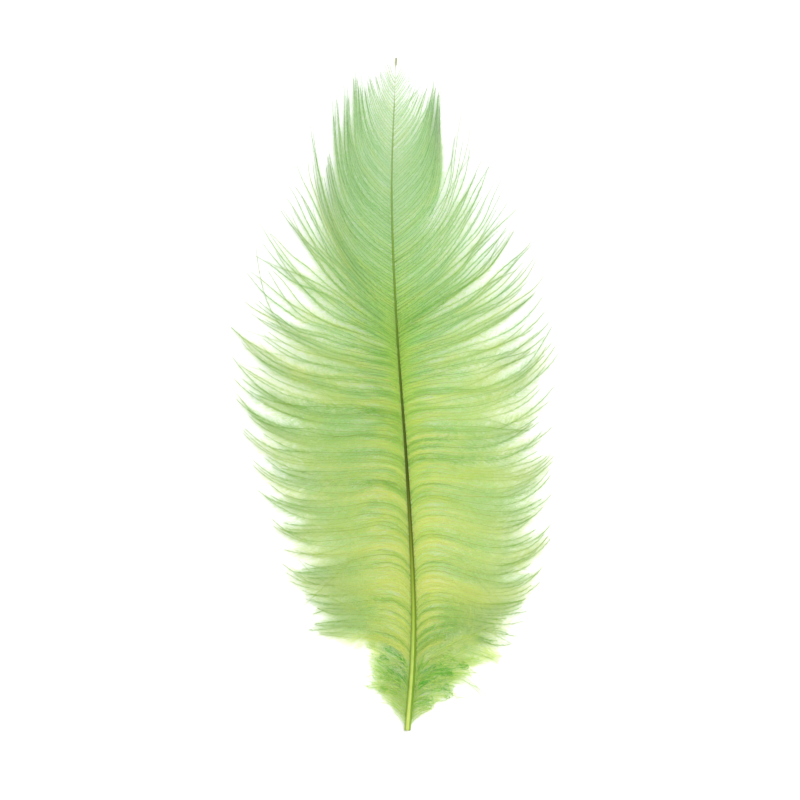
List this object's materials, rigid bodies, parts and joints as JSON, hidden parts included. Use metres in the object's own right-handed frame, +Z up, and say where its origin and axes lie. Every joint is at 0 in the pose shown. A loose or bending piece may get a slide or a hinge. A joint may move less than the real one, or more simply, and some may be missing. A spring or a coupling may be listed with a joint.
{
  "type": "ostrich feather",
  "caption": "Dyed ostrich feather that lies flat: a slender tapering shaft with long loose barbs on both sides, which gather into pointed locks, and short down beside the cut quill.",
  "frame": {"origin": "bottom centre of the feather's bounding box, on the surface that it lies on", "axes": "+Y from the cut quill to the tip, +X to the right seen from above with the tip pointing away, +Z up from the surface"},
  "size_m": [0.1304, 0.2802, 0.0125],
  "materials": {
    "shaft": "dyed keratin with a dull natural gloss, olive brown in the middle and yellow green at the quill",
    "vane": "soft dyed barbs, lime green, cooler at the tip and yellower towards the quill",
    "down": "soft dyed down, a deeper green than the vanes"
  },
  "bodies": {
    "root": {"shaft": "shaft", "vane_left": "vane", "vane_right": "vane", "down_left": "down", "down_right": "down"}
  },
  "joints": []
}
